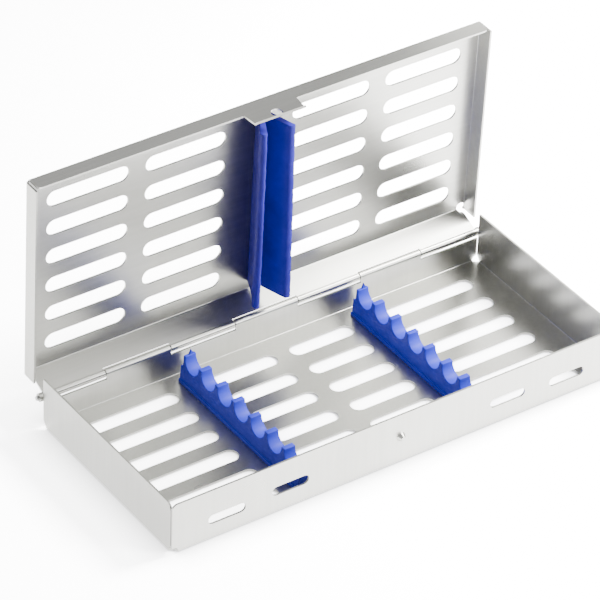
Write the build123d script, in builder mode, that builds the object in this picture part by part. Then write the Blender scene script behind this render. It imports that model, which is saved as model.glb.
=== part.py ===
# Sterilisation cassette: folded perforated tray, folded perforated lid, piano
# hinge with one pin, two silicone instrument rails and one silicone V strip.
# Millimetres, +Z up. X is the long side, the hinge is along the back (+Y).
# The origin is the centre of the tray's underside.
import os
from math import cos, radians, sin

from build123d import *

os.makedirs("parts", exist_ok=True)

# ---- tray -----------------------------------------------------------------
LENGTH = 180.0           # outside, left wall to right wall
WIDTH = 80.0             # outside, front wall to back wall
HEIGHT = 20.0            # rim above the underside
SHEET = 0.7              # sheet thickness of tray and lid
BEND = 1.0               # outside bend radius
HALF_L = LENGTH / 2
HALF_W = WIDTH / 2
MID = SHEET / 2
BEND_MID = BEND - MID
CORNER_HOLE = 2.0        # bend relief at the tray corners, radius
BACK_HALF = 89.35        # half width of the back wall above its bend

# ---- hinge ----------------------------------------------------------------
HINGE_Y = HALF_W + 0.8
HINGE_Z = 11.5
PIN_R = 0.80
BORE_R = 0.85
KNUCKLE_R = 1.5
KNUCKLES = 7
HINGE_LEN = 182.0
PITCH = HINGE_LEN / KNUCKLES
KNUCKLE_GAP = 0.45
PIN_LEN = HINGE_LEN + 1.4
NOTCH = 1.8              # sheet edges keep this far from the axis beside a barrel

# ---- lid, in its own v (from the axis to the latch) and w (height closed) -----
OPEN = 88.0              # degrees open as built
LID_W = 9.5              # outer face of the panel above the axis
LID_V = 84.4             # outer face of the front lip
LID_HALF = HALF_L + 0.3 + SHEET
FRONT_LIP_W = 3.1        # free edge of the front lip
SIDE_LIP_W = 2.8         # free edge of the side lips
SIDE_LIP_V = 4.2         # back end of the side lips
FOLD_V = 5.0             # fold between the panel and the hinge flange
FLANGE_HALF = 89.0       # flange half width between the tray side walls
LID_HOLE = 1.7           # bend relief at the lid's back corners, radius

# ---- slots ------------------------------------------------------------------
SLOT = 6.2
LID_COLS = ((22.7, 31.6), (60.8, 31.6))
LID_ROWS = (14.15, 11.8)
FLOOR_COLS = ((28.6, 36.4), (74.2, 25.8))
FLOOR_ROWS = (11.2, 12.15)
ROWS = 6
FRONT_SLOTS = ((44.0, 9.0), (68.8, 8.0))
FRONT_SLOT_L = 14.5
FRONT_SLOT_H = 3.6

# ---- latch ------------------------------------------------------------------
TAB_HALF = 10.4
TAB_TIP_HALF = 9.6
TAB_END_W = -2.4
TAB_FLARE = 1.2
LATCH_W = -0.7           # centre of the latch hole; the nub is at the same height
LATCH_HOLE = 2.1
NUB_R = 1.9
NUB_OUT = 1.6

# ---- silicone rails ---------------------------------------------------------
RAIL_X = (-35.2, 36.0)
RAIL_HALF = 35.6
RAIL_FOOT = 3.4          # half width
FOOT_H = 1.3
RAIL_BASE = 2.9          # half width above the foot
RAIL_TOP = 2.15          # half width on top
RAIL_Z = 12.0
RAIL_STEP_Y = 1.2        # shoulder at the back end
RAIL_STEP_Z = 7.2
NIB_Z = 13.9             # pointed nib on the rearmost land
SCALLOPS = 7
SCALLOP_Y0 = -30.45
SCALLOP_PITCH = 9.95
SCALLOP_R = 4.0
SCALLOP_Z = 11.2
PEG_R = 1.47
PEG_HOLE = 1.5
RAIL_PEGS = (-24.0, 0.0, 24.0)

# ---- silicone V strip in the lid ------------------------------------------------
STRIP_V0 = 8.4
STRIP_V1 = 79.7
STRIP_TIP_W = -6.2       # free edges at the hinge end
STRIP_TIP_W1 = -4.4      # free edges at the latch end
STRIP_PEGS = (20.0, 43.7, 67.4)
STRIP_PEG_X = -0.3


theta = radians(OPEN)
v_dir = Vector(0, -cos(theta), sin(theta))
w_dir = Vector(0, sin(theta), cos(theta))
axis_at = Vector(0, HINGE_Y, HINGE_Z)
LID_SIDE = Plane(origin=axis_at, x_dir=v_dir, z_dir=(-1, 0, 0))   # sketch in (v, w)
LID_FRONT = Plane(origin=axis_at, x_dir=(1, 0, 0), z_dir=v_dir)   # sketch in (x, w)
LID_FLAT = Plane(origin=axis_at, x_dir=(1, 0, 0), z_dir=-w_dir)   # sketch in (x, v)
TRAY_SIDE = Plane(origin=(0, 0, 0), x_dir=(0, 1, 0), z_dir=(1, 0, 0))   # (y, z)
TRAY_FRONT = Plane(origin=(0, 0, 0), x_dir=(1, 0, 0), z_dir=(0, -1, 0))  # (x, z)

# knuckle centres along X; odd ones belong to the lid, even ones to the tray
centres = [(i - (KNUCKLES - 1) / 2) * PITCH for i in range(KNUCKLES)]
lid_knuckles = centres[0::2]
tray_knuckles = centres[1::2]
BARREL = PITCH - KNUCKLE_GAP


# ---- tray -------------------------------------------------------------------
with BuildPart() as tray:
    # floor with the front and back walls
    with BuildSketch(TRAY_SIDE):
        with BuildLine():
            FilletPolyline(
                (-HALF_W + MID, HEIGHT),
                (-HALF_W + MID, MID),
                (HALF_W - MID, MID),
                (HALF_W - MID, HINGE_Z - NOTCH),
                radius=BEND_MID,
            )
        trace(line_width=SHEET)
    extrude(amount=HALF_L - BEND, both=True)
    # floor with the side walls
    with BuildSketch(TRAY_FRONT):
        with BuildLine():
            FilletPolyline(
                (-HALF_L + MID, HEIGHT),
                (-HALF_L + MID, MID),
                (HALF_L - MID, MID),
                (HALF_L - MID, HEIGHT),
                radius=BEND_MID,
            )
        trace(line_width=SHEET)
    extrude(amount=HALF_W - BEND, both=True)
    # the front wall runs across the ends of the side walls
    with BuildSketch(Plane.XY.offset(1.2)):
        with Locations((0, -HALF_W + MID)):
            Rectangle(LENGTH, SHEET)
    extrude(amount=HEIGHT - 1.2)
    # the back wall reaches past the end of the floor, up to the side walls
    with BuildSketch(Plane.XY.offset(1.2)):
        with Locations((0, HALF_W - MID)):
            Rectangle(2 * BACK_HALF, SHEET)
    extrude(amount=HINGE_Z - NOTCH - 1.2)
    # leaves that carry the tray knuckles
    for x in tray_knuckles:
        with BuildSketch(TRAY_SIDE.offset(x)):
            with Locations((HALF_W - MID, HINGE_Z - NOTCH / 2 - 0.3)):
                Rectangle(SHEET, NOTCH + 0.6)
            with Locations((HINGE_Y, HINGE_Z)):
                Circle(KNUCKLE_R)
        extrude(amount=BARREL / 2, both=True)
    # bore, and the open seam of the rolled knuckles
    with BuildSketch(TRAY_SIDE):
        with Locations((HINGE_Y, HINGE_Z)):
            Circle(BORE_R)
        with Locations((HALF_W + 0.12, HINGE_Z - 1.25)):
            Rectangle(0.24, 1.1)
    extrude(amount=HALF_L, both=True, mode=Mode.SUBTRACT)
    # rounded corners of the front wall, seen from the front
    with BuildSketch(TRAY_FRONT.offset(HALF_W - SHEET / 2)):
        Rectangle(LENGTH + 2, 2 * HEIGHT)
        with Locations((0, HEIGHT / 2)):
            RectangleRounded(LENGTH, HEIGHT, 2.0, mode=Mode.SUBTRACT)
    extrude(amount=SHEET / 2 + 0.02, both=True, mode=Mode.SUBTRACT)
    # side walls: rounded front top corner, cut back bottom corner
    for side in (-1, 1):
        with BuildSketch(TRAY_SIDE.offset(side * (HALF_L - MID))):
            with Locations((-HALF_W + BEND + 1.5, HEIGHT - 1.5)):
                Rectangle(3.02, 3.02)
            with Locations((-HALF_W + BEND + 3, HEIGHT - 3)):
                Circle(3.0, mode=Mode.SUBTRACT)
            with BuildLine():
                Polyline(
                    (HALF_W - BEND + 0.1, 3.2),
                    (HALF_W - BEND + 0.1, -0.1),
                    (HALF_W - BEND - 2.4, -0.1),
                    close=True,
                )
            make_face()
        extrude(amount=MID + 0.02, both=True, mode=Mode.SUBTRACT)
    # corner reliefs
    with Locations(*[(sx * (HALF_L - 0.5), sy * (HALF_W - 0.5), 0.5)
                     for sx in (-1, 1) for sy in (-1, 1)]):
        Sphere(CORNER_HOLE, mode=Mode.SUBTRACT)
    # floor slots
    slots = [
        (side * (HALF_L - col), HALF_W - FLOOR_ROWS[0] - k * FLOOR_ROWS[1], length)
        for col, length in FLOOR_COLS
        for side in (-1, 1)
        for k in range(ROWS)
    ]
    with BuildSketch(Plane.XY.offset(-1)):
        for x, y, length in slots:
            with Locations((x, y)):
                SlotOverall(length, SLOT)
        for x in RAIL_X:
            with Locations(*[(x, y) for y in RAIL_PEGS]):
                Circle(PEG_HOLE)
    extrude(amount=3, mode=Mode.SUBTRACT)
    # slots in the front wall
    with BuildSketch(TRAY_FRONT.offset(HALF_W - SHEET - 1)):
        for x, z in FRONT_SLOTS:
            with Locations((x, z), (-x, z)):
                SlotOverall(FRONT_SLOT_L, FRONT_SLOT_H)
    extrude(amount=3, mode=Mode.SUBTRACT)
    # latch nub: a round-topped button raised from the front wall
    with BuildSketch(TRAY_FRONT.offset(HALF_W - MID)):
        with Locations((0, HINGE_Z + LATCH_W)):
            Circle(NUB_R)
    extrude(amount=NUB_OUT + MID, taper=28)
tray.part.label = "tray"
export_step(tray.part, "parts/tray.step")


# ---- lid --------------------------------------------------------------------
with BuildPart() as lid:
    # panel with the side lips
    with BuildSketch(LID_FRONT.offset(SIDE_LIP_V)):
        with BuildLine():
            FilletPolyline(
                (-LID_HALF + MID, SIDE_LIP_W),
                (-LID_HALF + MID, LID_W - MID),
                (LID_HALF - MID, LID_W - MID),
                (LID_HALF - MID, SIDE_LIP_W),
                radius=BEND_MID,
            )
        trace(line_width=SHEET)
    extrude(amount=LID_V - BEND - SIDE_LIP_V)
    # behind the fold only the side lips are left
    with BuildSketch(LID_FLAT.offset(-LID_W - 0.5)):
        with Locations((0, (SIDE_LIP_V + FOLD_V + 0.6) / 2 - 0.1)):
            Rectangle(LENGTH, FOLD_V + 0.6 - SIDE_LIP_V + 0.2)
    extrude(amount=2, mode=Mode.SUBTRACT)
    # hinge flange, panel and front lip as one folded strip
    with BuildSketch(LID_SIDE):
        with BuildLine():
            FilletPolyline(
                (1.12, 0.0),
                (FOLD_V - 0.1, LID_W - MID),
                (LID_V - MID, LID_W - MID),
                (LID_V - MID, FRONT_LIP_W),
                radius=BEND_MID,
            )
        trace(line_width=SHEET)
    extrude(amount=LID_HALF - BEND, both=True)
    # flange narrowed to pass between the tray's side walls
    for side in (-1, 1):
        with BuildSketch(LID_SIDE.offset(side * (FLANGE_HALF + 0.6))):
            with BuildLine():
                Polyline((0, -0.6), (2.0, -0.6), (4.1, 5.2), (5.6, 8.7), (2.0, 8.7), close=True)
            make_face()
        extrude(amount=0.6, both=True, mode=Mode.SUBTRACT)
    # latch tab with its flared end
    with BuildSketch(LID_SIDE):
        with BuildLine():
            FilletPolyline(
                (LID_V - MID, FRONT_LIP_W + 0.5),
                (LID_V - MID, TAB_END_W),
                (LID_V - MID + TAB_FLARE, TAB_END_W - TAB_FLARE),
                radius=BEND_MID,
            )
        trace(line_width=SHEET)
    extrude(amount=TAB_HALF, both=True)
    with BuildSketch(LID_FRONT.offset(LID_V - 2)):
        for side in (-1, 1):
            with BuildLine():
                Polyline(
                    (side * TAB_HALF, FRONT_LIP_W),
                    (side * TAB_TIP_HALF, TAB_END_W - TAB_FLARE - 1),
                    (side * (TAB_HALF + 1), TAB_END_W - TAB_FLARE - 1),
                    (side * (TAB_HALF + 1), FRONT_LIP_W),
                    close=True,
                )
            make_face()
    extrude(amount=5, mode=Mode.SUBTRACT)
    # cut back the flange beside the tray knuckles
    for x in tray_knuckles:
        with BuildSketch(LID_SIDE.offset(-x)):
            Circle(NOTCH)
        extrude(amount=(PITCH + KNUCKLE_GAP) / 2, both=True, mode=Mode.SUBTRACT)
    # knuckles
    for x in lid_knuckles:
        with BuildSketch(LID_SIDE.offset(-x)):
            Circle(KNUCKLE_R)
        extrude(amount=BARREL / 2, both=True)
    with BuildSketch(LID_SIDE):
        Circle(BORE_R)
        with Locations((0.62, -1.15)):
            Rectangle(0.24, 1.1)
    extrude(amount=LENGTH, both=True, mode=Mode.SUBTRACT)
    # rounded ends of the front lip
    with BuildSketch(LID_FRONT.offset(LID_V - SHEET - 0.02)):
        for side in (-1, 1):
            with Locations((side * (LID_HALF - BEND - 0.9), FRONT_LIP_W + 0.9)):
                Rectangle(1.82, 1.82)
        for side in (-1, 1):
            with Locations((side * (LID_HALF - BEND - 1.8), FRONT_LIP_W + 1.8)):
                Circle(1.8, mode=Mode.SUBTRACT)
    extrude(amount=SHEET + 0.04, mode=Mode.SUBTRACT)
    # relief holes at the back corners, slots, peg holes
    lid_slots = [
        (side * (HALF_L - col), LID_ROWS[0] + k * LID_ROWS[1], length)
        for col, length in LID_COLS
        for side in (-1, 1)
        for k in range(ROWS)
    ]
    with BuildSketch(LID_FLAT.offset(-LID_W - 1)):
        for x, v, length in lid_slots:
            with Locations((x, v)):
                SlotOverall(length, SLOT)
        with Locations(*[(STRIP_PEG_X, v) for v in STRIP_PEGS]):
            Circle(PEG_HOLE)
    extrude(amount=3, mode=Mode.SUBTRACT)
    with BuildSketch(LID_FLAT.offset(-LID_W - 1)):
        with Locations((-FLANGE_HALF + 0.3, FOLD_V + 0.7), (FLANGE_HALF - 0.3, FOLD_V + 0.7)):
            Circle(LID_HOLE)
    extrude(amount=4.5, mode=Mode.SUBTRACT)
    # latch hole
    with BuildSketch(LID_FRONT.offset(LID_V - SHEET - 0.5)):
        with Locations((0, LATCH_W)):
            Circle(LATCH_HOLE)
    extrude(amount=2, mode=Mode.SUBTRACT)
lid.part.label = "lid"
export_step(lid.part, "parts/lid.step")


# ---- hinge pin ----------------------------------------------------------------
with BuildPart() as hinge_pin:
    with BuildSketch(TRAY_SIDE):
        with Locations((HINGE_Y, HINGE_Z)):
            Circle(PIN_R)
    extrude(amount=PIN_LEN / 2, both=True)
hinge_pin.part.label = "hinge_pin"
export_step(hinge_pin.part, "parts/hinge_pin.step")


# ---- silicone rails -------------------------------------------------------------
for x0, name in zip(RAIL_X, ("rail_left", "rail_right")):
    with BuildPart() as rail:
        with BuildSketch(TRAY_FRONT):
            with BuildLine():
                Polyline(
                    (x0 - RAIL_FOOT, SHEET),
                    (x0 + RAIL_FOOT, SHEET),
                    (x0 + RAIL_FOOT, SHEET + FOOT_H),
                    (x0 + RAIL_BASE, SHEET + FOOT_H),
                    (x0 + RAIL_TOP, RAIL_Z),
                    (x0 - RAIL_TOP, RAIL_Z),
                    (x0 - RAIL_BASE, SHEET + FOOT_H),
                    (x0 - RAIL_FOOT, SHEET + FOOT_H),
                    close=True,
                )
            make_face()
        extrude(amount=RAIL_HALF, both=True)
        # instrument scallops, and the step at the back end
        with BuildSketch(TRAY_SIDE.offset(x0)):
            for i in range(SCALLOPS):
                y = SCALLOP_Y0 + i * SCALLOP_PITCH
                with Locations((y, SCALLOP_Z)):
                    Circle(SCALLOP_R)
                with Locations((y, SCALLOP_Z + 3)):
                    Rectangle(2 * SCALLOP_R, 6)
            with Locations((RAIL_HALF, RAIL_STEP_Z + 3)):
                Rectangle(2 * RAIL_STEP_Y, 6)
        extrude(amount=RAIL_FOOT, both=True, mode=Mode.SUBTRACT)
        # nib
        with BuildSketch(TRAY_FRONT.offset(RAIL_STEP_Y - RAIL_HALF)):
            with BuildLine():
                Polyline((x0 - 0.5, RAIL_Z - 0.3), (x0 + 2.0, RAIL_Z - 0.3), (x0 + 0.5, NIB_Z), close=True)
            make_face()
        extrude(amount=0.9)
        # pegs through the floor
        with BuildSketch(Plane.XY):
            with Locations(*[(x0, y) for y in RAIL_PEGS]):
                Circle(PEG_R)
        extrude(amount=SHEET + 0.2)
    rail.part.label = name
    export_step(rail.part, f"parts/{name}.step")


# ---- silicone V strip -------------------------------------------------------------
with BuildPart() as lid_strip:
    with BuildSketch(LID_FRONT.offset(STRIP_V0)):
        with BuildLine():
            Polyline(
                (-1.8, LID_W - SHEET),
                (-8.4, STRIP_TIP_W),
                (-6.3, STRIP_TIP_W),
                (-0.4, 6.8),
                (3.8, STRIP_TIP_W),
                (6.1, STRIP_TIP_W),
                (1.3, LID_W - SHEET),
                close=True,
            )
        make_face()
    extrude(amount=STRIP_V1 - STRIP_V0)
    # the fins get shallower towards the latch
    with BuildSketch(LID_SIDE):
        with BuildLine():
            Polyline(
                (STRIP_V0 - 1, STRIP_TIP_W),
                (STRIP_V0, STRIP_TIP_W),
                (STRIP_V1 + 0.1, STRIP_TIP_W1),
                (STRIP_V1 + 0.1, STRIP_TIP_W - 1),
                (STRIP_V0 - 1, STRIP_TIP_W - 1),
                close=True,
            )
        make_face()
    extrude(amount=12, both=True, mode=Mode.SUBTRACT)
    with BuildSketch(LID_FLAT.offset(-LID_W)):
        with Locations(*[(STRIP_PEG_X, v) for v in STRIP_PEGS]):
            Circle(PEG_R)
    extrude(amount=SHEET + 0.2)
lid_strip.part.label = "lid_strip"
export_step(lid_strip.part, "parts/lid_strip.step")
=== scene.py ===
"""Looks for the instrument cassette: satin folded steel, moulded blue silicone, white sweep."""

import math
import random

import bmesh
import bpy
from mathutils import Matrix, Vector, noise


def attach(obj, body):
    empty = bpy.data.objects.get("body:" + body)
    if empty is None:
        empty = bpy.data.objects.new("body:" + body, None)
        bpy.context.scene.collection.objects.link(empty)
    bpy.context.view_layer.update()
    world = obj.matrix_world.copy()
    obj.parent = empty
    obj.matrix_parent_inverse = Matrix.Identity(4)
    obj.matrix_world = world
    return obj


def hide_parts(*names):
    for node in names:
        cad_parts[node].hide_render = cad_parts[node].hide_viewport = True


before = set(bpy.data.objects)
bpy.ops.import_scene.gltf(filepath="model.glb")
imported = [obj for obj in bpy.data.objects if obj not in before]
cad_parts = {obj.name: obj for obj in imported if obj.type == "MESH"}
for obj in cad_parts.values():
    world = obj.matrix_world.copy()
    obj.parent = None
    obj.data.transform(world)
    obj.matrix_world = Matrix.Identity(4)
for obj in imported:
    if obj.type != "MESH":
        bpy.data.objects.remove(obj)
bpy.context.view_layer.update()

MM = 0.001

# ---- the frame's dimensions, in mm ------------------------------------------------
OPEN = math.radians(88.0)       # how far the lid stands open
HINGE = Vector((0, 40.8, 11.5))
V_DIR = Vector((0, -math.cos(OPEN), math.sin(OPEN)))    # along the lid, away from the hinge
W_DIR = Vector((0, math.sin(OPEN), math.cos(OPEN)))     # out through the lid's panel
PEG_R = 1.47                    # silicone pegs, in the holes of both sheets
PEG_SIDES = 32


def lid_point(x, v, w):
    return Vector((x, 0, 0)) + HINGE + V_DIR * v + W_DIR * w


# ---- materials --------------------------------------------------------------------
def new_material(name):
    mat = bpy.data.materials.new(name)
    mat.use_nodes = True
    nodes = mat.node_tree.nodes
    nodes.clear()
    out = nodes.new("ShaderNodeOutputMaterial")
    bsdf = nodes.new("ShaderNodeBsdfPrincipled")
    mat.node_tree.links.new(bsdf.outputs[0], out.inputs["Surface"])
    return mat, nodes, mat.node_tree.links, bsdf


def value(bsdf, **kw):
    for key, val in kw.items():
        bsdf.inputs[key.replace("_", " ")].default_value = val


def coords(nodes, links, scale):
    tex = nodes.new("ShaderNodeTexCoord")
    mapping = nodes.new("ShaderNodeMapping")
    mapping.inputs["Scale"].default_value = scale
    links.new(tex.outputs["Object"], mapping.inputs["Vector"])
    return mapping.outputs["Vector"]


def noise_node(nodes, links, vector, scale, detail=3.0, rough=0.5):
    n = nodes.new("ShaderNodeTexNoise")
    n.inputs["Scale"].default_value = scale
    n.inputs["Detail"].default_value = detail
    n.inputs["Roughness"].default_value = rough
    links.new(vector, n.inputs["Vector"])
    return n.outputs["Fac"]


def remap(nodes, links, source, lo, hi, a, b):
    m = nodes.new("ShaderNodeMapRange")
    m.inputs["From Min"].default_value = lo
    m.inputs["From Max"].default_value = hi
    m.inputs["To Min"].default_value = a
    m.inputs["To Max"].default_value = b
    links.new(source, m.inputs["Value"])
    return m.outputs["Result"]


def ramp(nodes, links, source, stops):
    r = nodes.new("ShaderNodeValToRGB")
    while len(r.color_ramp.elements) < len(stops):
        r.color_ramp.elements.new(0.5)
    for el, (pos, col) in zip(r.color_ramp.elements, stops):
        el.position = pos
        el.color = (*col, 1.0)
    links.new(source, r.inputs["Fac"])
    return r.outputs["Color"]


def bump(nodes, links, source, bsdf, strength, distance):
    b = nodes.new("ShaderNodeBump")
    b.inputs["Strength"].default_value = strength
    b.inputs["Distance"].default_value = distance
    links.new(source, b.inputs["Height"])
    links.new(b.outputs["Normal"], bsdf.inputs["Normal"])


def steel(name, light, dark, rough, grain=(1.0, 1.0, 1.0)):
    """Satin stainless sheet: slow tone drift, faint mill grain, soft handling marks."""
    mat, nodes, links, bsdf = new_material(name)
    value(bsdf, Metallic=1.0, IOR=2.5)
    slow = noise_node(nodes, links, coords(nodes, links, (14, 22, 22)), 1.0, 2.0)
    fine = noise_node(nodes, links, coords(nodes, links, grain), 700.0, 2.0, 0.6)
    mixed = nodes.new("ShaderNodeMath")
    mixed.operation = "ADD"
    links.new(slow, mixed.inputs[0])
    links.new(remap(nodes, links, fine, 0.3, 0.7, -0.12, 0.12), mixed.inputs[1])
    tone = ramp(nodes, links, mixed.outputs[0], ((0.3, dark), (0.7, light)))
    links.new(tone, bsdf.inputs["Base Color"])
    marks = noise_node(nodes, links, coords(nodes, links, (1, 1, 1)), 22.0, 1.0, 0.4)
    links.new(remap(nodes, links, marks, 0.3, 0.7, rough - 0.02, rough + 0.03),
              bsdf.inputs["Roughness"])
    return mat


def silicone(name, base, deep, haze):
    """Moulded silicone: saturated, semi-matt, a little light passing through thin fins."""
    mat, nodes, links, bsdf = new_material(name)
    slow = noise_node(nodes, links, coords(nodes, links, (1, 1, 1)), 90.0, 3.0)
    links.new(ramp(nodes, links, slow, ((0.3, deep), (0.7, base))), bsdf.inputs["Base Color"])
    fine = noise_node(nodes, links, coords(nodes, links, (1, 1, 1)), 1600.0, 2.0)
    links.new(remap(nodes, links, fine, 0.3, 0.7, 0.42, 0.55), bsdf.inputs["Roughness"])
    value(bsdf, IOR=1.42, Specular_IOR_Level=haze, Subsurface_Weight=0.06,
          Subsurface_Scale=0.0007)
    bsdf.inputs["Subsurface Radius"].default_value = (0.3, 0.5, 1.0)
    bump(nodes, links, fine, bsdf, 0.08, 0.00004)
    return mat


SHEET_LIGHT = (0.488, 0.487, 0.458)
SHEET_DARK = (0.433, 0.431, 0.403)
tray_steel = steel("tray_steel", SHEET_LIGHT, SHEET_DARK, 0.29, (1, 1, 0.05))
lid_steel = steel("lid_steel", SHEET_LIGHT, SHEET_DARK, 0.29, (0.05, 1, 1))
pin_steel = steel("pin_steel", (0.50, 0.50, 0.50), (0.44, 0.44, 0.44), 0.22)
rail_blue = silicone("rail_silicone", (0.056, 0.074, 0.86), (0.042, 0.055, 0.71), 0.28)
# the strip is the same silicone as the rails; its darker colour is painted shade for the
# lighting it sits in on the lid
strip_blue_painted_shade = silicone("strip_silicone_painted_shade", (0.056, 0.046, 0.56), (0.042, 0.034, 0.44), 0.24)


def dress(node, mat):
    """A CAD node shown as it is, with one material."""
    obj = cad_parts[node]
    obj.data.materials.clear()
    obj.data.materials.append(mat)


dress("tray", tray_steel)
dress("lid", lid_steel)
dress("hinge_pin", pin_steel)


# ---- silicone pieces ----------------------------------------------------------------
def mesh_object(name, verts, faces, mat):
    """An object from corners in mm, with its faces turned outwards."""
    me = bpy.data.meshes.new(name)
    me.from_pydata([Vector(v) * MM for v in verts], [], faces)
    bm = bmesh.new()
    bm.from_mesh(me)
    bmesh.ops.recalc_face_normals(bm, faces=bm.faces)
    bm.to_mesh(me)
    bm.free()
    obj = bpy.data.objects.new(name, me)
    bpy.context.scene.collection.objects.link(obj)
    me.materials.append(mat)
    return obj


def soften(obj, width, segments=3, angle=30):
    """Round the edges sharper than angle, width in mm."""
    mod = obj.modifiers.new("soft edges", "BEVEL")
    mod.width = width * MM
    mod.segments = segments
    mod.limit_method = "ANGLE"
    mod.angle_limit = math.radians(angle)
    mod.harden_normals = False
    for p in obj.data.polygons:
        p.use_smooth = True


def prism(outline, lo, hi):
    """Faces and corners of an outline pushed from the points lo(p) to hi(p)."""
    n = len(outline)
    verts = [lo(p) for p in outline] + [hi(p) for p in outline]
    faces = [tuple(range(n)), tuple(range(2 * n - 1, n - 1, -1))]
    faces += [(i, (i + 1) % n, n + (i + 1) % n, n + i) for i in range(n)]
    return verts, faces


def make_peg(name, mat, lo, hi):
    turns = [2 * math.pi * k / PEG_SIDES for k in range(PEG_SIDES)]
    ring = [(PEG_R * math.cos(a), PEG_R * math.sin(a)) for a in turns]
    peg = mesh_object(name, *prism(ring, lo, hi), mat)
    soften(peg, 0.12)
    return peg


RAIL_END = 35.6                 # half length of a rail
RAIL_TOP = 12.0
SCALLOPS = 7
SCALLOP_R = 4.0
SCALLOP_PITCH = 9.95
SCALLOP_FIRST = -30.45          # middle of the scallop nearest the latch
SCALLOP_Z = 11.2                # centre of the round
SCALLOP_STEPS = 14


def rail_outline():
    """Side view of a rail above its foot: seven scallops, a step at the back end."""
    pts = [(-RAIL_END, 1.6), (-RAIL_END, RAIL_TOP)]
    for i in range(SCALLOPS):
        y = SCALLOP_FIRST + i * SCALLOP_PITCH
        pts.append((y - SCALLOP_R, RAIL_TOP))
        for k in range(SCALLOP_STEPS + 1):
            a = math.pi + math.pi * k / SCALLOP_STEPS
            pts.append((y + SCALLOP_R * math.cos(a), SCALLOP_Z + SCALLOP_R * math.sin(a)))
        pts.append((y + SCALLOP_R, RAIL_TOP))
    pts += [(34.4, RAIL_TOP), (34.4, 7.2), (RAIL_END, 7.2), (RAIL_END, 1.6)]
    return pts


def half_width(z):
    """A rail's web tapers from 2.9 mm at the foot to 2.15 mm at the top."""
    t = (z - 2.0) / 10.0
    return 2.9 + (2.15 - 2.9) * t


def make_rail(name, x0):
    verts, faces = prism(
        rail_outline(),
        lambda p: (x0 - half_width(p[1]), p[0], p[1]),
        lambda p: (x0 + half_width(p[1]), p[0], p[1]),
    )
    web = mesh_object(name, verts, faces, rail_blue)
    soften(web, 0.22)
    foot = [(-3.4, 0.7), (3.4, 0.7), (3.4, 1.8), (3.2, 2.0), (-3.2, 2.0), (-3.4, 1.8)]
    verts, faces = prism(
        foot,
        lambda p: (x0 + p[0], -RAIL_END, p[1]),
        lambda p: (x0 + p[0], RAIL_END, p[1]),
    )
    base = mesh_object(name + "_foot", verts, faces, rail_blue)
    soften(base, 0.25)
    nib = [(-0.4, 11.7), (1.9, 11.7), (0.75, 13.2), (0.5, 13.85), (0.25, 13.2)]
    verts, faces = prism(
        nib,
        lambda p: (x0 + p[0], 33.5 + 0.25 * (p[1] - 11.7) / 2, p[1]),
        lambda p: (x0 + p[0], 34.38, p[1]),
    )
    tip = mesh_object(name + "_nib", verts, faces, rail_blue)
    soften(tip, 0.1)
    pieces = [web, base, tip]
    for y in (-24.0, 0.0, 24.0):
        pieces.append(make_peg(
            f"{name}_peg_{y:.0f}", rail_blue,
            lambda p: (x0 + p[0], y + p[1], 0.02),
            lambda p: (x0 + p[0], y + p[1], 1.0),
        ))
    return pieces


for node, x0 in (("rail_left", -35.2), ("rail_right", 36.0)):
    for n, piece in enumerate(make_rail("silicone_" + node, x0)):
        if n == 0:
            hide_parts(node)
        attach(piece, "base")


STRIP_STATIONS = 110            # sections along the strip
STRIP_FROM, STRIP_TO = 8.4, 79.7
STRIP_X = -0.3                  # middle of the strip's root


def make_strip():
    """V strip: two thin fins from one root, shallower towards the latch, free edges wavy."""
    rng = random.Random(4)
    rings = []
    for s in range(STRIP_STATIONS):
        t = s / (STRIP_STATIONS - 1)
        v = STRIP_FROM + (STRIP_TO - STRIP_FROM) * t
        lift = 1.8 * t                      # the free edges rise by this much
        wav = noise.noise(Vector((v * 0.2, 0, 0))) * 0.22
        rag = noise.noise(Vector((v * 0.9, 5, 0))) * 0.28 + rng.uniform(-0.05, 0.05)
        dent = noise.noise(Vector((v * 0.35, 9, 0))) * 0.18
        tip = -6.2 + lift
        left = -8.4 + 0.44 * lift           # outer face of the left fin at its tip
        right = 6.1 - 0.32 * lift           # outer face of the right fin at its tip
        # (x, w) round one section: root, left fin out and back, right fin out and back
        ring = [
            (-1.8, 8.8),
            (-1.95, 8.4),
            ((left - 1.95) / 2 + wav * 0.6, (tip + 8.4) / 2),
            (left + 0.04 + wav, tip + 2.2),
            (left + 0.10 + wav, tip + 1.2),
            (left + 0.34 + wav, tip + 0.5),
            (left + 0.70 + wav, tip + 0.16),
            (left + 1.05 + wav, tip + 0.05),
            (left + 1.55 + wav + rag * 0.4, tip + 0.05 + abs(rag)),
            (left + 1.98 + wav + rag * 0.6, tip + 0.42 + abs(rag)),
            ((left + 1.9 - 0.5) / 2 + wav * 0.6, (tip + 6.4) / 2),
            (-0.55, 6.35),
            (-0.4, 6.5),
            (-0.22, 6.35),
            ((right - 2.3 - 0.2) / 2, (tip + 6.4) / 2),
            (right - 2.25 + dent, tip + 0.25),
            (right - 2.0 + dent, tip + 0.04),
            (right - 0.35 + dent, tip + 0.04),
            (right - 0.12 + dent, tip + 0.25),
            ((right + 1.4) / 2, (tip + 8.4) / 2),
            (1.4, 8.4),
            (1.3, 8.8),
        ]
        rings.append([lid_point(x, v, w) for x, w in ring])
    n = len(rings[0])
    verts = [p for ring in rings for p in ring]
    faces = []
    for s in range(STRIP_STATIONS - 1):
        for i in range(n):
            j = (i + 1) % n
            faces.append((s * n + i, s * n + j, (s + 1) * n + j, (s + 1) * n + i))
    faces.append(tuple(range(n)))
    faces.append(tuple(range(len(verts) - 1, len(verts) - n - 1, -1)))
    strip = mesh_object("silicone_strip", verts, faces, strip_blue_painted_shade)
    soften(strip, 0.12, 2, 50)
    pieces = [strip]
    for v in (20.0, 43.7, 67.4):
        pieces.append(make_peg(
            f"silicone_strip_peg_{v:.0f}", strip_blue_painted_shade,
            lambda p: lid_point(STRIP_X + p[0], v + p[1], 9.48),
            lambda p: lid_point(STRIP_X + p[0], v + p[1], 8.6),
        ))
    return pieces


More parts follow.
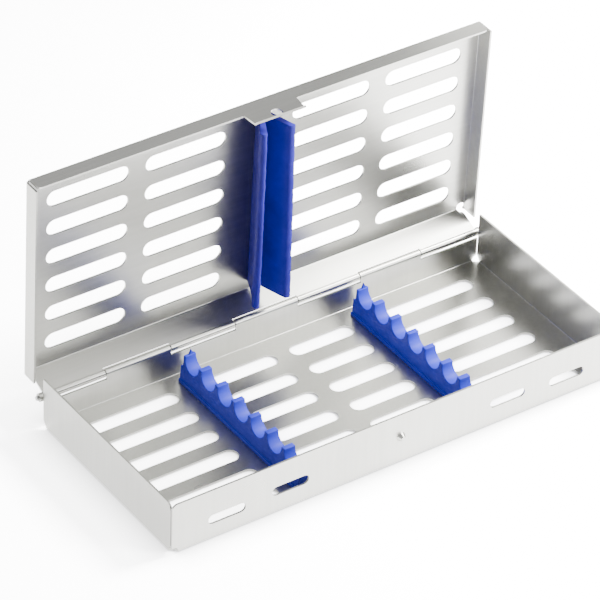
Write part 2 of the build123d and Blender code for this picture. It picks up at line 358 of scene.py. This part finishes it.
for n, piece in enumerate(make_strip()):
    if n == 0:
        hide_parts("lid_strip")
    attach(piece, "cover")


# ---- floor, light, camera ------------------------------------------------------------
SWEEP_SEEN = (5.0, 5.5)         # gain and glow where the sweep is looked at
SWEEP_MIRRORED = (2.0, 2.9)     # the same where steel mirrors it
NOOK_PAINTED_SHADE_SEEN = (3.4, 3.2)          # and for a dimmer paper under the tray: painted shade for the shade of walls and lid
NOOK_PAINTED_SHADE_MIRRORED = (1.5, 0.6)
CONTACT_REACH = 0.012           # how close a thing has to be to cast the paper's painted contact shadow
PAINTED_CONTACT_SHADE = 0.3             # what is left of the paper's brightness in that painted contact shadow
FLOOR_BOUNCE = 0.3              # plain reflectance for light bounced onto the object
SKY_SEEN = 0.88                 # the room's brightness in steel and behind the sweep
SKY_BOUNCE = 0.36               # and for diffuse light

# name, place and target in metres, size, power and colour
LIGHTS = (
    ("key", (0.29, -0.045, 0.36), (0, 0, 0), 0.15, 4.6, (1.0, 0.995, 0.97)),
    ("kicker", (0.235, -0.13, 0.185), (0.07, 0.04, 0.01), 0.08, 0.12, (1.0, 0.985, 0.88)),
    ("back", (0.19, 0.145, 0.14), (0.07, -0.01, 0), 0.08, 0.13, (1.0, 0.995, 0.96)),
    ("fill", (0.36, -0.5, 0.34), (0.06, 0, 0.02), 0.2, 2.7, (0.98, 0.99, 1.0)),
)


def mix_shaders(nodes, links, fac, plain, flagged):
    """plain where fac is 0, flagged where it is 1."""
    mix = nodes.new("ShaderNodeMixShader")
    links.new(fac, mix.inputs["Fac"])
    links.new(plain, mix.inputs[1])
    links.new(flagged, mix.inputs[2])
    return mix.outputs[0]


def paper_material(name, seen, mirrored):
    """White paper, over-exposed to the eye but not to the light that it throws back.

    seen and mirrored are (gain, glow): reflectance and own brightness."""
    mat = bpy.data.materials.new(name)
    mat.use_nodes = True
    mat.cycles.emission_sampling = "NONE"       # the paper's own glow lights nothing
    nodes, links = mat.node_tree.nodes, mat.node_tree.links
    nodes.clear()
    out = nodes.new("ShaderNodeOutputMaterial")
    path = nodes.new("ShaderNodeLightPath")

    def paper(gain, glow):
        lit = nodes.new("ShaderNodeBsdfDiffuse")
        lit.inputs["Color"].default_value = (gain, gain, gain * 1.02, 1)
        if not glow:
            return lit.outputs[0]
        own = nodes.new("ShaderNodeEmission")
        own.inputs["Strength"].default_value = glow
        both = nodes.new("ShaderNodeAddShader")
        links.new(lit.outputs[0], both.inputs[0])
        links.new(own.outputs[0], both.inputs[1])
        return both.outputs[0]

    def paper_with_painted_contact_shadow(gain, glow):
        """The same with a painted contact shadow: dimmer close to a wall, a rail or a slot's
        edge.
        """
        near = nodes.new("ShaderNodeAmbientOcclusion")
        near.samples = 8
        near.inputs["Distance"].default_value = CONTACT_REACH
        clear = remap(nodes, links, near.outputs["AO"], 0.35, 1.0, 0.0, 1.0)
        shade = paper(gain * PAINTED_CONTACT_SHADE, glow * PAINTED_CONTACT_SHADE)
        return mix_shaders(nodes, links, clear, shade, paper(gain, glow))

    direct = mix_shaders(nodes, links, path.outputs["Is Glossy Ray"],
                         paper_with_painted_contact_shadow(*seen), paper(*mirrored))
    every = mix_shaders(nodes, links, path.outputs["Diffuse Depth"],
                        direct, paper(FLOOR_BOUNCE, 0))
    links.new(every, out.inputs["Surface"])
    return mat


def make_floor(name, half_x, half_y, z, mat):
    me = bpy.data.meshes.new(name)
    corners = [(-half_x, -half_y, 0), (half_x, -half_y, 0),
               (half_x, half_y, 0), (-half_x, half_y, 0)]
    me.from_pydata(corners, [], [(0, 1, 2, 3)])
    obj = bpy.data.objects.new(name, me)
    bpy.context.scene.collection.objects.link(obj)
    obj.location.z = z
    me.materials.append(mat)
    return obj


make_floor("floor", 4.0, 4.0, -0.0002,
                    paper_material("floor", SWEEP_SEEN, SWEEP_MIRRORED))
# a second, dimmer sheet under the tray: painted shade where walls, rails and lid shade the
# paper
make_floor("floor_painted_shade_under_tray", 0.0885, 0.0385, -0.00015,
                    paper_material("floor_painted_shade_under_tray", NOOK_PAINTED_SHADE_SEEN, NOOK_PAINTED_SHADE_MIRRORED))


def area(name, loc, target, size, power, colour):
    light = bpy.data.lights.new(name, "AREA")
    light.shape = "RECTANGLE"
    light.size = size
    light.size_y = size
    light.energy = power
    light.color = colour
    obj = bpy.data.objects.new(name, light)
    obj.location = loc
    obj.rotation_euler = (Vector(target) - Vector(loc)).to_track_quat("-Z", "Y").to_euler()
    obj.visible_camera = False
    bpy.context.scene.collection.objects.link(obj)


for light in LIGHTS:
    area(*light)


def make_world():
    world = bpy.data.worlds.new("studio")
    bpy.context.scene.world = world
    world.cycles.sampling_method = "NONE"
    world.use_nodes = True
    nodes, links = world.node_tree.nodes, world.node_tree.links
    nodes.clear()
    out = nodes.new("ShaderNodeOutputWorld")
    path = nodes.new("ShaderNodeLightPath")
    skies = []
    for strength in (SKY_SEEN, SKY_BOUNCE):
        sky = nodes.new("ShaderNodeBackground")
        sky.inputs["Color"].default_value = (0.98, 0.985, 1.0, 1)
        sky.inputs["Strength"].default_value = strength
        skies.append(sky.outputs[0])
    links.new(mix_shaders(nodes, links, path.outputs["Diffuse Depth"], *skies),
              out.inputs["Surface"])


make_world()


def make_camera():
    data = bpy.data.cameras.new("camera")
    data.sensor_width = 36.0
    data.lens = 257.77
    data.shift_x = 0.00958
    data.shift_y = 0.00372
    data.clip_start = 0.01
    data.clip_end = 20.0
    obj = bpy.data.objects.new("camera", data)
    right = Vector((0.82682, -0.56180, 0.02748))
    up = Vector((0.31444, 0.50218, 0.80557))
    back = Vector((-0.46637, -0.65741, 0.59187))
    # columns: right, up, back and the camera's place in metres
    obj.matrix_world = Matrix((
        (right.x, up.x, back.x, -0.67749),
        (right.y, up.y, back.y, -0.93145),
        (right.z, up.z, back.z, 0.88615),
        (0, 0, 0, 1),
    ))
    bpy.context.scene.collection.objects.link(obj)
    bpy.context.scene.camera = obj


make_camera()
